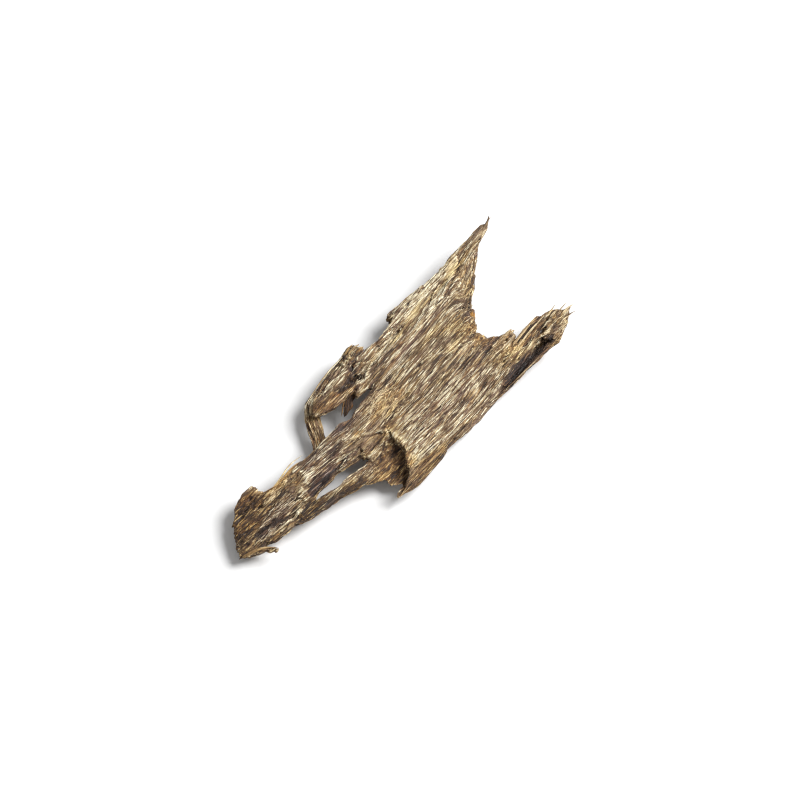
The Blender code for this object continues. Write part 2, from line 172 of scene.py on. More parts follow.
OCHRE = (
    (-4, 1, 6, 4.5, 0, 0.5),
    (30, -6, 5, 6, 0, 0.5),
    (37, -13, 6, 2, 0, 0.7),
    (-50, 9, 7, 5, 0, 1.0),
    (-15, -11, 5, 5, 0, 0.8),
    (-39.5, 7, 6, 1.5, 5, 0.7),
    (-21, 12, 5, 5, 0, 0.6),
    (-10, 12.5, 7, 2, -20, 0.7),
    (33, -19, 10, 2, 0, 0.5),
    (-12, -17.5, 9, 1.2, 0, 0.6),
    (39.6, 14.5, 3.1, 1.0, 15, 0.35),
)
COLD = (
    (-30.5, -0.3, 5.2, 1.2, -3, 1.4),
    (31, -18.1, 9, 1.5, -2, 0.8),
    (6, -11, 18, 5, 0, 1.0),
    (11, 8, 7, 3, 0, 0.8),
    (-26, 2.5, 8, 3, -3, 1.0),
    (-7, 16, 6, 3, -10, 0.8),
    (2, 10, 7, 2, 8, 0.8),
    (-15, 5, 6, 2, 0, 1.0),
    (-45, 2, 8, 2, 5, 0.7),
)
CRINKLED = (
    (-3, 1, 6, 4.5, 0, 0.8),
    (33, 5, 7, 3, 30, 0.45),
    (29, -5, 6, 6, 0, 1.0),
    (-36, 4, 3.4, 2.7, 0, 0.9),
    (1, 17.2, 3.4, 2.6, 0, 1.8),
    (44, -17, 4, 3, 0, 0.8),
    (-15.5, -10, 4, 5, 0, 0.4),
    (27, -13.5, 4, 2, 0, 0.8),
)
TWIG = ((-53, -1, 3, 2.5, 0, 1.0),)
# Cross-grain ends without long frays: the twig, the step of the flaked patch and the curled strip
CALM = TWIG + (
    (-11, -10, 4, 8, 0, 1.0),
    (-19, 12, 3.5, 6, 0, 1.0),
)

# Where the grain turns: x, y, half length, half width, degrees that the patch and its grain turn
TURNS = ((40, 9, 10, 2.9, 28, 20),)  # right face of the spike
TURN_EDGE, TURN_FADE = 1.25, 0.8
# The grain turns above this height, and fully at so much more
TURN_FLOOR, TURN_RISE = 4.5, 1.5
# The grain follows the curled strip, from the left arm to the tail
STRIP = np.array(((-12, 17.1), (-15.2, 16.4), (-17.7, 13.9), (-19.2, 11.4), (-20.7, 8.9), (-22.7, 6.4)))
STRIP_REACH, STRIP_FADE = 2.6, 0.5
STRIP_TOP, STRIP_TOP_FADE = 6.6, 0.6
# How far the grain drifts aside for each millimetre along the tail, from its start on, and the spike
TAIL_START, TAIL_BEND, SPIKE_BEND = -16, -0.09, 0.04
# How much more the grain waves in the crinkled patches
CRINKLE_ACROSS, CRINKLE_DEPTH = 0.7, 0.5
DRIFT_STEP = 0.5

# The hood: edge of the body from which the flaked patch slopes down, its height, and how steep the slope is
HOOD = np.array(((-18, -2.8), (-17, -2), (-15, -1.5), (-13, -2), (-11, -3.2), (-10, -4.3)))
HOOD_TOP, HOOD_SLOPE = 9.2, 0.75
# Beyond this x the slope falls faster
HOOD_END, HOOD_END_SLOPE = -17, 1.2
HOOD_FADE = 0.2

# The drop of resin: its middle, its radius, and how many times longer it is along x, y and z
RESIN_DROP, RESIN_RADIUS, RESIN_STRETCH = (31.6, 1.0, 8.4), 0.85, (1, 1, 2)
RESIN_EDGE, RESIN_FADE = 1.1, 0.25

# The tip of the spike narrows in a short step and then slowly, towards its middle line
TIP_START = 54.8
TIP_WAIST, TIP_WAIST_LENGTH = 0.45, 0.9
TIP_TAPER, TIP_TAPER_START, TIP_TAPER_LENGTH = 0.35, 0.5, 3
TIP_Y, TIP_TURN = 15.75, 0.3
TIP_Z, TIP_CLIMB = 9.1, 0.1

# Places belong to the underside or to the upper side by the upward part of their normals
LOOKS_DOWN = -0.3
BELOW_EDGE, BELOW_FADE = 0.3, 0.5
ABOVE_EDGE, ABOVE_FADE = 0.15, 0.4

# Height and paleness of the broad waves, ridges, strands, fibres, ledges and tears; the tears' darkening is
# painted shade
FORM_HEIGHTS = (0.22, 0.07, 0.1, 0.12, 0.16, -1.6)
FORM_TONES = (0.5, 0.4, 0.9, 1.2, 0.4, -5.0)
RIDGE_TOP = 0.6
LEDGE_EDGE = 0.1
TEAR_LEVEL, NICK_LEVEL, NICK_SHARE = 0.42, 0.45, 0.6
LUMP_HEIGHT, LUMP_TONE = 0.22, 8
SMOOTH_FLATTENS, BELOW_FLATTENS, TWIG_FLATTENS = 0.75, 0.35, 0.8
# Edges that stand out by this height are made pale
EDGE_HEIGHT, EDGE_PALENESS = 0.25, 0.5
FRAY_ALONG, FRAY_LENGTH, FRAY_MEAN = 0.02, 0.8, 0.2
OCHRE_BELOW = 0.6
CONTRAST, CRISP_CONTRAST, SMOOTH_LOSS = 1.05, 0.45, 0.8

# Ridges and grooves of the upper side. Each has the width of its left and of its right flank, its
# height, how much paler it is, and the points of its line. Left is as seen when walking along the
# line. A single point is a knob or a pit.
# Grooves, gaps and pits are darker through a negative paleness: painted shade in them
CARVED = (
    # The spike: rim, grooves beside it, crest, slits, crack along the right edge
    (0.3, 0.3, 0.2, 2, (50, 16.9), (42, 17), (30, 17.2), (20, 17.6)),
    (0.22, 0.22, -0.45, -4, (43, 16), (34.8, 16.3), (27.4, 16.3), (19.7, 16.7)),
    (0.22, 0.3, 0.25, 3, (42, 15.6), (34.5, 15.6), (27, 15.5), (20, 15.9)),
    (0.2, 0.2, -0.3, -3, (37, 15), (30, 14.9), (22, 15.2)),
    (0.22, 0.28, 0.2, 3, (36.5, 14.4), (28, 14.4), (19, 14.7)),
    (
        0.22, 1.6, 0.4, 4,
        (42.4, 15.3), (40.7, 13.6), (38.4, 12.9), (37, 12.4), (33.6, 11), (29.8, 9.9), (25.6, 9.8),
    ),
    (0.22, 0.22, -0.3, -4, (42.3, 14.5), (40.3, 12.9), (37.2, 11.8), (33.7, 10.4), (30, 9.3)),
    (0.2, 0.2, -0.45, -4, (33.9, 14.3), (30.4, 13.3)),
    (0.25, 0.25, 0.25, 4, (33.2, 13.6), (30.2, 12.8)),
    (0.2, 0.2, -0.45, -4, (29.8, 13.3), (26.2, 11.4)),
    (0.25, 0.25, 0.25, 4, (29.6, 12.6), (27, 11.1)),
    (0.2, 0.2, -0.5, -5, (32.9, 11.4), (29.5, 10.6)),
    (0.2, 0.2, -0.4, -4, (35.6, 10.7), (32.8, 9.8)),
    (0.2, 0.2, -0.45, -5, (45.5, 12), (41.2, 8.9), (36.9, 6), (32.5, 3.2)),
    (0.25, 0.25, 0.15, 3, (45, 11), (41.4, 8.2), (37.2, 5.3), (33, 2.5)),
    (0.25, 0.25, 0.2, 3, (43.6, 11.5), (41.9, 10.3)),
    (0.25, 0.25, 0.2, 2.5, (39, 10.1), (36.1, 9.1)),
    (0.6, 0.6, 0.6, 0, (31, 2)),
    (0.35, 0.35, -0.5, -5, (29.9, 2.2)),
    # The right arm: edge line, gutter and its rim, gaps between the splinters, nub
    (0.25, 0.15, 0.3, 4, (20.9, -16.9), (29.3, -16.5), (36, -16), (39.5, -16.9), (41.5, -18.6)),
    (0.5, 0.8, -0.3, -3, (22.5, -18), (28, -17.8), (35, -17.5)),
    (0.25, 0.25, -0.5, -5, (32.6, -13.1), (37, -12.8), (42.6, -12.4)),
    (0.3, 0.3, -0.7, -6, (33.5, -15), (38, -14.8), (44, -14.6)),
    (0.3, 0.3, -0.5, -5, (33.5, -11.9), (30.8, -12.6)),
    (0.2, 0.2, -0.4, -4, (27, -15.4), (35, -15.2), (41, -15.9)),
    (0.7, 0.7, 0.4, 3, (34.2, -9.7)),
    (0.5, 0.5, -0.4, -4, (33, -10.4)),
    # The left arm: pits, knobs, hollow, ledge with a strand
    (0.6, 0.6, -0.9, -7, (2.1, 19.2)),
    (0.5, 0.5, -0.9, -7, (0, 18.9)),
    (0.7, 0.5, -0.9, -7, (0.2, 15.2), (-1.2, 14.6)),
    (0.5, 0.5, -0.8, -6, (0.8, 12.9)),
    (0.5, 0.5, -0.7, -6, (3.4, 16.2)),
    (0.45, 0.45, 0.4, 6, (-0.2, 17.2)),
    (0.4, 0.4, 0.4, 6, (0.9, 16.8)),
    (0.4, 0.4, 0.4, 6, (-1.5, 17.5)),
    (0.5, 0.5, 0.4, 5, (3, 18.1)),
    (0.35, 0.35, 0.3, 5, (-1, 15.9)),
    (0.35, 0.35, 0.3, 5, (2, 15.6)),
    (1.1, 1.1, -1.6, -5, (-7.5, 13.6), (-4.5, 13), (-1.8, 12)),
    (0.2, 0.25, 0.4, 3, (1.7, 13.8), (4.9, 11.5)),
    (0.2, 0.25, 0.4, 2, (3.8, 12.4), (-1, 10)),
    (0.3, 0.3, 0.3, 4, (-5.4, 8.7), (-1.7, 7.9), (2, 8.3)),
    (0.25, 0.25, -0.5, -5, (-2, 17.8), (-12, 16.9)),
    (0.25, 0.25, -0.4, -4, (-5, 15.6), (-14, 16)),
    # The flaked patch: hood, knob above it
    (0.5, 0.2, 0.4, 2, (-18.7, 1.9), (-16.2, 0.2), (-13.7, -1.1), (-11.4, -2.3), (-9.7, -4.2)),
    (0.2, 0.3, -0.3, -4, (-18.6, 1.3), (-16.1, -0.4), (-13.6, -1.7), (-11.5, -2.9), (-10.2, -4.3)),
    (0.9, 0.6, 0.5, 2, (-9.8, -4.4), (-14.5, -5.2), (-18.5, -5.9)),
    (0.25, 0.2, 0.15, 2, (-8.9, -6), (-9.2, -10.2), (-11.2, -12.6), (-13.2, -16.3)),
    (0.6, 0.6, 0.4, 4, (-10.5, 4.8)),
    (0.2, 0.2, -0.2, -2, (-10.6, -3.9), (-13.5, -3.4), (-17, -3.5)),
    (0.2, 0.2, -0.3, -4, (-10.4, -4.4), (-14, -4.3), (-17.2, -4.4)),
    (0.2, 0.2, -0.3, -4, (-11.2, -5.2), (-13.4, -6.2), (-16.4, -6.6)),
    # The tail: ring of knobs, dark facet, ledge, long ridges, rim on the left
    (0.5, 0.5, 0.45, 6, (-34.5, 7.1)),
    (0.5, 0.5, 0.45, 6, (-33.2, 6.4)),
    (0.5, 0.5, 0.4, 4, (-32.6, 4.8), (-32.4, 4)),
    (0.6, 0.5, 0.4, 4, (-32.3, 2.9), (-33.9, 2)),
    (0.6, 0.6, 0.4, 7, (-36.1, 1.6)),
    (0.45, 0.45, 0.35, 5, (-38.2, 4.4)),
    (0.45, 0.45, 0.35, 5, (-36.8, 6.3)),
    (1.8, 1.8, -0.5, 1.5, (-36.2, 3.7)),
    (0.3, 0.6, 0.35, 3, (-35.2, 2), (-35.5, -0.9)),
    (0.9, 0.3, -0.45, -3, (-34, 1.1), (-26, 1.4), (-20, 2.3)),
    (0.3, 0.4, 0.45, 2, (-42, 3.5), (-37.5, 0.9), (-36.3, -0.8), (-38.6, -1.4), (-40.5, -1.5)),
    (0.4, 0.4, -0.5, -4, (-41.5, 2.6), (-38.4, 1.2), (-37.4, 0)),
    (0.25, 0.25, -0.4, -4, (-38.5, 3), (-43, 3.4), (-48, 3.8)),
    (0.3, 0.3, 0.3, 5, (-39.5, -1.5), (-45.1, -1), (-52.5, 0.8)),
    (0.25, 0.25, -0.35, -4, (-42.5, -0.3), (-46, 0), (-52, 1.2)),
    (0.3, 0.3, 0.35, 2.5, (-42, 0.3), (-47, 0.9), (-53, 1.9)),
    (0.25, 0.25, -0.6, -6, (-41.5, 1.4), (-47, 1.9), (-53, 2.9)),
    (0.3, 0.3, 0.3, 3, (-43, 2.4), (-48, 2.9), (-54, 3.9)),
    (0.25, 0.25, -0.5, -5, (-42, 4.3), (-48, 4.6), (-53.5, 5.4)),
    (0.25, 0.25, -0.45, -4, (-19, 3.4), (-26, 4.6), (-31, 5.4)),
    (0.3, 0.3, 0.3, 4, (-18, 2.4), (-25.4, 3.5), (-31, 4)),
    (0.35, 0.35, 0.4, 3, (-37.6, 7), (-42.9, 8.9), (-43.5, 11), (-47.2, 12)),
    (1.3, 1.3, -0.7, -4, (-46, 9.9), (-50.6, 9.6)),
)
CARVED_STRENGTH = 0.85
CARVED_REACH = 2.5  # in widths: what lies further from a line is left out
NO_LENGTH = 1e-9  # for the division by the length of a single point

# Splinters: width, thickness, how pale, how ochre, and the points of the line from base to tip
SPLINTERS = (
    (0.9, 0.9, 1.5, 0.6, (30.8, -12.5, 7.4), (36, -12.1, 8.3), (42.4, -11.9, 8.6)),
    # a dark strand between the pale splinters: painted shade in the gap between them
    (1.3, 0.6, -4.5, 1.0, (31.3, -13.1, 7.3), (37, -12.7, 7.8), (43, -12.4, 7.9)),
    (0.6, 0.7, 2.5, 0.6, (31.5, -13.9, 8.1), (37, -13.5, 8.7), (43.5, -13.4, 8.9)),
    (0.5, 0.5, -0.5, 0.6, (34, -14.6, 8.1), (39, -14.3, 8.7), (44.5, -14.1, 8.8)),
    (0.4, 0.35, 1, 0.3, (44.5, -13.6, 8.2), (46.5, -13.6, 8.5), (48.2, -13.4, 8.8)),
    (0.4, 0.35, 1, 0.3, (46, -15.4, 8.2), (48.5, -15.3, 8.6), (50.6, -15.4, 8.9)),
    (0.5, 0.45, 3, 0.5, (47, -16.4, 8), (49.3, -16.5, 8.4), (52, -17.1, 8.5)),
    (0.4, 0.35, 1, 0.5, (46, -17.6, 7.7), (48.4, -17.9, 8), (50.4, -18.5, 8)),
    (0.45, 0.4, 3, 0.5, (44, -16.1, 8), (47, -16.6, 8.4), (50.4, -17.1, 8.4)),
    (0.4, 0.4, 2, 0.5, (44, -17.4, 7.8), (46.5, -17.7, 8), (49, -18.2, 7.9)),
    (0.35, 0.35, 3, 0.5, (43, -18.4, 7.6), (45, -18.8, 7.7), (47.2, -19.3, 7.5)),
    (0.4, 0.4, 2, 0.5, (43, -15, 8.2), (45.4, -14.7, 8.6), (47.8, -14.9, 8.6)),
    (0.7, 0.6, 1.5, 0.2, (1.2, 19.3, 6.9), (3.4, 19.7, 7.4), (5.2, 19.8, 7.5)),
    (0.9, 0.6, 0, 0.2, (1.6, 18.3, 7.7), (4.2, 18.5, 8.2), (6, 18.2, 8.2)),
    (0.8, 0.5, 1.5, 0.2, (2.2, 17, 7.9), (4.6, 17.1, 8.3), (6.2, 16.8, 8.2)),
    (0.4, 0.4, 2.5, 0.2, (0.5, 19.3, 7.5), (-5.9, 19.3, 6.9), (-12.8, 18.4, 6.1), (-17.5, 17.5, 5.2)),
    # the flap hanging in the slot, darkened as painted shade
    (2.4, 0.6, -3.5, 1.0, (-5, 11.2, 6.9), (-7.6, 10, 6.1), (-9.6, 8.9, 5.2), (-11.6, 8.4, 4.6)),
    (0.6, 0.5, -1, 0.8, (-5.6, 11.8, 7.2), (-8.4, 10.9, 6.5), (-10.8, 9.6, 5.6), (-12.1, 8.9, 5.0)),
    (1.5, 1.2, -1, 0.7, (33.1, 2.5, 8.2), (32.1, 1.5, 8.4), (31, 0.5, 8.2), (30, -0.4, 7.7)),
    (
        0.9, 0.8, 1, 0.7,
        (-58.2, 2, 3.4), (-56, 0.9, 4.2), (-54, -0.2, 4.6), (-52.4, -1.6, 4.7), (-50.8, -3.4, 4.7),
    ),
    (0.6, 0.5, 1, 0.7, (-54, -0.1, 4.4), (-53, -1.2, 4.5), (-52.5, -2.6, 4.4)),
    (0.8, 0.8, 0, 0.7, (-2, -17.7, 5.9), (-10, -17.3, 6.2), (-15, -17.2, 5.8), (-20, -17.6, 4.8)),
    (0.6, 0.5, 2, 0.3, (22.5, 16.8, 7.8), (19.8, 17.2, 7.6), (17.2, 17.7, 7.2)),
    (0.45, 0.4, 1, 0.3, (21.5, 15.8, 8), (19, 16, 8), (16.9, 16.3, 7.8)),
    (0.7, 0.6, 2, 0.8, (-29.5, 7.3, 7.2), (-34, 7.6, 7.6), (-39, 7.5, 7.4), (-43.5, 9.3, 6.7)),
    (
        0.4, 0.35, 3.5, 0.4,
        (-40, 7.6, 7.2), (-36.4, 8.2, 7), (-32.5, 8.9, 6.9), (-29.9, 8.8, 6.8), (-27.6, 8.4, 6.7),
    ),
    (0.5, 0.5, -1, 0.3, (38.5, -19.9, 6.9), (33, -19.4, 6.7), (27, -19.1, 6.1), (21.5, -18.4, 5)),
    (0.8, 0.6, 2, 0.5, (32.2, -9.2, 8.1), (33.6, -9.3, 8.6), (34.8, -9.5, 8.8)),
    (0.7, 0.7, -1.5, 0.3, (52.5, 15.5, 9.3), (55, 16, 9.4), (57, 16.6, 9.5), (58.2, 17.2, 9.7)),
)
SPLINTER_RINGS, SPLINTER_SIDES = 40, 10
# A splinter widens over its base and narrows to a point
SPLINTER_BASE, SPLINTER_START, SPLINTER_POINT = 0.12, 0.05, 0.03
SPLINTER_BULGE, SPLINTER_BLUNTNESS = 2.2, 0.8
SPLINTER_SHIFT = 3  # sets each splinter's grain apart from the one before
SPLINTER_PALENESS, SPLINTER_CONTRAST = 0.3, 0.8

SLIVERS = 4400
SLIVER_SEED = 31
SLIVER_REACH = 0.5  # a sliver that would leave the surface by more than this is left out
SLIVER_TAPER = (0.1, 0.6, 0.9, 1.0, 0.95, 0.8, 0.5, 0.05)
SLIVER_SHARES = np.linspace(0, 1, len(SLIVER_TAPER))
SLIVER_ROOT = 0.3  # share of a sliver's length that lies behind its place
SLIVER_LENGTHS, SLIVER_WIDTHS = (1.8, 6.5), (0.18, 0.36)
SLIVER_LIFT, LIFTED_SHARE = 0.15, 0.4
SLIVER_CREST, SLIVER_THICKNESS = 0.02, 0.55
SLIVER_TONES, SLIVER_TONE_SHARES = (3.4, 1.6, 0.0, -2.0), (0.34, 0.26, 0.25, 0.15)
TONE_SPREAD = 0.7
# Slivers crowd in pale patches, and are rare in smooth ones, on the sides and underneath
CROWD_MEAN, CROWD_PALE, CROWD_SMOOTH = 0.5, 0.4, 0.9
CROWD_LIMITS = (0.1, 2)
CROWD_FACES_UP, CROWD_SIDES = 0.2, 0.2

# The material's fibres: their length and their width
LONG_FIBRES, SHORT_FIBRES, THIN_FIBRES = (8.0, 0.34), (2.6, 0.22), (4.5, 0.27)
# The material's noises: cells in a millimetre along, across and into the grain
FINE_FIBRES_PER_MM = (0.4, 5.0, 5.0)
CLUSTERS_PER_MM = (0.09, 0.45, 0.45)
WASHES_PER_MM = (0.07, 0.3, 0.3)
STREAKS = ((0.18, "3a2b1b"), (0.4, "6b553a"), (0.55, "8f7b5d"), (0.75, "c2af8a"), (0.95, "f6ecce"))
FIBRE_TINTS = ((0.3, "e8dce2"), (0.5, "ffffff"), (0.75, "ffeacc"))
CREAM, PURPLE, WARM = "fdf2d6", "ecdfea", "f4cf90"
SHADOW, COLD_SHADOW = "c4b8a4", "c4b8c8"
RESIN, PALE_RESIN = "6a3f14", "cf9a48"
OCHRE_SHARE, DARK_SHARE = 0.6, 0.7
GAP_SHADES = ((0.0, (0.45, 0.42, 0.38)), (1.0, (1.0, 1.0, 1.0)))
ROUGHNESS = ((0.2, (0.55, 0.55, 0.55)), (0.8, (0.85, 0.85, 0.85)))
BUMP_STRENGTH, BUMP_HEIGHT = 0.9, 0.15


def lattice_noise(points, seed):
    """Smooth gradient noise from about -1 to 1 with cells one unit wide."""
    rng = np.random.default_rng(seed)
    gradients = rng.normal(size=(LATTICE, LATTICE, LATTICE, 3))
    gradients /= np.linalg.norm(gradients, axis=3, keepdims=True)
    cell = np.floor(points).astype(int)
    inside = points - cell
    fade = inside**3 * (inside * (inside * 6 - 15) + 10)
    total = np.zeros(len(points))
    for corner in np.ndindex(2, 2, 2):
        at = (cell + corner) % LATTICE
        slope = gradients[at[:, 0], at[:, 1], at[:, 2]]
        weight = np.prod(np.where(corner, fade, 1 - fade), axis=1)
        total += weight * np.sum(slope * (inside - corner), axis=1)
    return total * NOISE_GAIN


def noise(points, name):
    """Noise as the table describes it under this name."""
    strength, cell, seed = NOISES[name]
    return strength * lattice_noise(points / cell, seed)


def eased(share):
    """A share from 0 to 1 with a soft start and end."""
    share = np.clip(share, 0, 1)
    return share * share * (3 - 2 * share)


def patches(points, rows):
    """How strongly a point is in the patches, which have ragged borders."""
    ragged = noise(points, "border") + noise(points, "fine border")
    strength = np.zeros(len(points))
    for x, y, half_length, half_width, turn, amount in rows:
        cos, sin = math.cos(math.radians(turn)), math.sin(math.radians(turn))
        dx, dy = points[:, 0] - x, points[:, 1] - y
        along, across = dx * cos + dy * sin, dy * cos - dx * sin
        away = np.hypot(along / half_length, across / half_width) + ragged
        strength = np.maximum(strength, amount * eased((PATCH_EDGE - away) / PATCH_FADE))
    return strength


def to_line(plan, line):
    """How far points lie from a line in the plan, on which side of it, and how far along it."""
    distance, side, travelled = np.full(len(plan), np.inf), np.zeros(len(plan)), np.zeros(len(plan))
    covered = 0.0
    for start, end in zip(line, line[1:]):
        along = end - start
        length = math.hypot(*along)
        share = np.clip((plan - start) @ along / max(length**2, NO_LENGTH), 0, 1)
        away = plan - start - share[:, None] * along
        gap = np.hypot(*away.T)
        closer = gap < distance
        distance[closer] = gap[closer]
        side[closer] = (along[0] * away[:, 1] - along[1] * away[:, 0])[closer]
        travelled[closer] = (covered + share * length)[closer]
        covered += length
    return distance, side, travelled


def turned(points):
    """x and y with the grain turned in the places where it changes direction."""
    plan = points[:, :2].copy()
    on_top = eased((points[:, 2] - TURN_FLOOR) / TURN_RISE)
    for x, y, half_length, half_width, slant, angle in TURNS:
        away = points[:, :2] - (x, y)
        cos, sin = math.cos(math.radians(slant)), math.sin(math.radians(slant))
        reach = np.hypot(away @ (cos, sin) / half_length, away @ (-sin, cos) / half_width)
        cos, sin = math.cos(math.radians(angle)), math.sin(math.radians(angle))
        turn = np.c_[away @ (cos, sin), away @ (-sin, cos)] - away
        plan += turn * (eased((TURN_EDGE - reach) / TURN_FADE) * on_top)[:, None]
    distance, side, travelled = to_line(points[:, :2], STRIP)
    followed = np.c_[STRIP[0][0] - travelled, STRIP[0][1] - np.sign(side) * distance]
    below_body = eased((STRIP_TOP - points[:, 2]) / STRIP_TOP_FADE)
    share = eased((STRIP_REACH - distance) / STRIP_FADE) * below_body
    return plan + (followed - plan) * share[:, None]


def grain_places(points):
    """Coordinates along and across the grain, which bends a little on the tail and waves everywhere."""
    x, across = turned(points).T
    across = across - (TAIL_BEND * np.minimum(x - TAIL_START, 0) + SPIKE_BEND * np.maximum(x, 0))
    for name in ("slow across", "quick across", "waver across"):
        across += noise(points, name)
    depth = points[:, 2] + noise(points, "slow depth") + noise(points, "quick depth")
    crinkle = np.minimum(patches(points, CRINKLED), 1)
    across += CRINKLE_ACROSS * crinkle * noise(points, "crinkle across")
    depth += CRINKLE_DEPTH * crinkle * noise(points, "crinkle depth")
    return np.c_[x, across, depth]


def grain_direction(points):
    """Unit vectors along the grain."""
    drift = (grain_places(points + (DRIFT_STEP, 0, 0)) - grain_places(points)) / DRIFT_STEP
    direction = drift * (1, -1, -1)
    return direction / np.linalg.norm(direction, axis=1, keepdims=True)


def relief(grain):
    """Height of the weathered surface above the plain solid, and how pale its forms are, with painted shade
    in the tears.
    """
    ridge = RIDGE_TOP - 2 * np.abs(noise(grain, "ridge"))
    ledge = eased(0.5 + noise(grain, "ledge") / LEDGE_EDGE) - 0.5
    tear = np.maximum(noise(grain, "tear") - TEAR_LEVEL, 0)
    tear += NICK_SHARE * np.maximum(noise(grain, "nick") - NICK_LEVEL, 0)
    forms = (noise(grain, "broad"), ridge, noise(grain, "strand"), noise(grain, "fibre"), ledge, tear)
    height = sum(rise * form for rise, form in zip(FORM_HEIGHTS, forms))
    tone = sum(paleness_and_shade * form for paleness_and_shade, form in zip(FORM_TONES, forms))
    return height, tone


def crinkles(points):
    """Height of the small lumps in the crinkled patches."""
    return LUMP_HEIGHT * patches(points, CRINKLED) * (noise(points, "lump") + noise(points, "small lump"))


def carved(points):
    """Height and paleness that the listed ridges, grooves, knobs and pits add."""
    plan = points[:, :2] + np.c_[noise(points, "wobble along"), noise(points, "wobble across")]
    strength = CARVED_STRENGTH + noise(points, "carving")
    height, pale = np.zeros(len(points)), np.zeros(len(points))
    for left, right, rise, shade, *line in CARVED:
        line = np.array(line if len(line) > 1 else line * 2, float)
        reach = CARVED_REACH * max(left, right)
        inside = np.all((plan > line.min(axis=0) - reach) & (plan < line.max(axis=0) + reach), axis=1)
        distance, side, _ = to_line(plan[inside], line)
        profile = np.exp(-(distance / np.where(side > 0, left, right)) ** 2) * strength[inside]
        height[inside] += rise * profile
        # negative shades darken the grooves and pits as painted shade
        pale[inside] += shade * profile
    return height, pale


def fray(places, normals):
    """How far the splinters of a cross-grain break stand out along the grain."""
    across = places * (FRAY_ALONG, 1, 1)
    splinter = noise(across, "fray") + noise(across, "fine fray")
    amount = (FRAY_LENGTH * splinter + FRAY_MEAN) * (1 - patches(places, CALM))
    return normals[:, 0] * np.abs(normals[:, 0]) * amount


def sloped_hood(mesh):
    """Turns the step at the top of the flaked patch into a slope."""
    places, normals = vertex_places(mesh), vertex_normals(mesh)
    slope = HOOD_TOP - HOOD_SLOPE * to_line(places[:, :2], HOOD)[0]
    slope -= HOOD_END_SLOPE * np.maximum(HOOD_END - places[:, 0], 0)
    rise = np.where(normals[:, 2] > LOOKS_DOWN, np.maximum(slope - places[:, 2], 0), 0)
    place_vertices(mesh, places + rise[:, None] * (0, 0, 1))
    raised = vertex_places(mesh)
    relaxed = smoothed(mesh, HOOD_SMOOTHING)
    place_vertices(mesh, raised + (relaxed - raised) * eased(rise / HOOD_FADE)[:, None])


def contrast(points, smooth):
    """How strongly pale and dark streaks differ."""
    return (CONTRAST + CRISP_CONTRAST * patches(points, CRISP)) * (1 - SMOOTH_LOSS * smooth)


def resin_drop(points):
    """How much a point belongs to the drop of resin, from 0 to 1."""
    away = np.linalg.norm((points - RESIN_DROP) / RESIN_STRETCH, axis=1) / RESIN_RADIUS
    return eased((RESIN_EDGE + noise(points, "drop") - away) / RESIN_FADE)


def pointed_tip(places):
    """Narrows the last millimetres of the spike towards its middle line."""
    beyond = places[:, 0] - TIP_START
    share = TIP_WAIST * eased(beyond / TIP_WAIST_LENGTH)
    share += TIP_TAPER * np.clip((beyond - TIP_TAPER_START) / TIP_TAPER_LENGTH, 0, 1)
    middle = np.c_[places[:, 0], TIP_Y + TIP_TURN * beyond, TIP_Z + TIP_CLIMB * beyond]
    return places + (middle - places) * share[:, None]


def vertex_places(mesh):
    """One row for each vertex."""
    places = np.empty(len(mesh.vertices) * 3)
    mesh.vertices.foreach_get("co", places)
    return places.reshape(-1, 3)


def vertex_normals(mesh):
    """One row for each vertex."""
    normals = np.empty(len(mesh.vertices) * 3)
    mesh.vertex_normals.foreach_get("vector", normals)
    return normals.reshape(-1, 3)


def place_vertices(mesh, places):
    """Moves a mesh's vertices to these places."""
    mesh.vertices.foreach_set("co", places.astype(np.float32).ravel())
    mesh.update()


def new_mesh(name, places, faces):
    """A mesh in metres from places in millimetres."""
    mesh = bpy.data.meshes.new(name)
    mesh.from_pydata((places * MM).tolist(), [], faces)
    return mesh


def linked(name, data):
    """A new object in the scene."""
    made = bpy.data.objects.new(name, data)
    bpy.context.scene.collection.objects.link(made)
    return made


def finely_meshed(node):
    """The node's shape in millimetres, in small quads that are long along the grain."""
    coarse = node.data.copy()
    place_vertices(coarse, vertex_places(coarse) / MM / (STRETCH, 1, 1))
    holder = linked("coarse", coarse)
    remesh = holder.modifiers.new("remesh", "REMESH")
    remesh.mode = "VOXEL"
    remesh.voxel_size = VOXEL
    bpy.context.view_layer.update()
    evaluated = holder.evaluated_get(bpy.context.evaluated_depsgraph_get())
    fine = bpy.data.meshes.new_from_object(evaluated)
    bpy.data.objects.remove(holder)
    place_vertices(fine, vertex_places(fine) * (STRETCH, 1, 1))
    return fine


def smoothed(mesh, steps):
    """The places of the vertices after moving them towards the mean of their neighbours by each step."""
    edges = np.empty(len(mesh.edges) * 2, np.int64)
    mesh.edges.foreach_get("vertices", edges)
    first, second = edges.reshape(-1, 2).T
    places = vertex_places(mesh)
    count = np.bincount(first, minlength=len(places)) + np.bincount(second, minlength=len(places))
    for step in steps:
        mean = np.stack([
            np.bincount(first, places[second, axis], len(places))
            + np.bincount(second, places[first, axis], len(places)) for axis in range(3)
        ], axis=1) / count[:, None]
        places = places + step * (mean - places)
    return places


def add_finish(mesh, grain, finish):
    """Stores on the vertices what the wood material reads."""
    attribute = mesh.attributes.new("grain", "FLOAT_VECTOR", "POINT")
    attribute.data.foreach_set("vector", np.asarray(grain, np.float32).ravel())
    for name, values in finish.items():
        attribute = mesh.attributes.new(name, "FLOAT", "POINT")
        attribute.data.foreach_set("value", np.asarray(values, np.float32))


def faces_of(mesh):
    """The four corners of every face. The new mesh has no other kind."""
    corners = np.empty(len(mesh.loops), np.int64)
    mesh.loops.foreach_get("vertex_index", corners)
    return corners.reshape(-1, 4)


def share_below(up):
    """How much a place belongs to the underside, from the upward part of its normal."""
    return eased(BELOW_EDGE - up / BELOW_FADE)


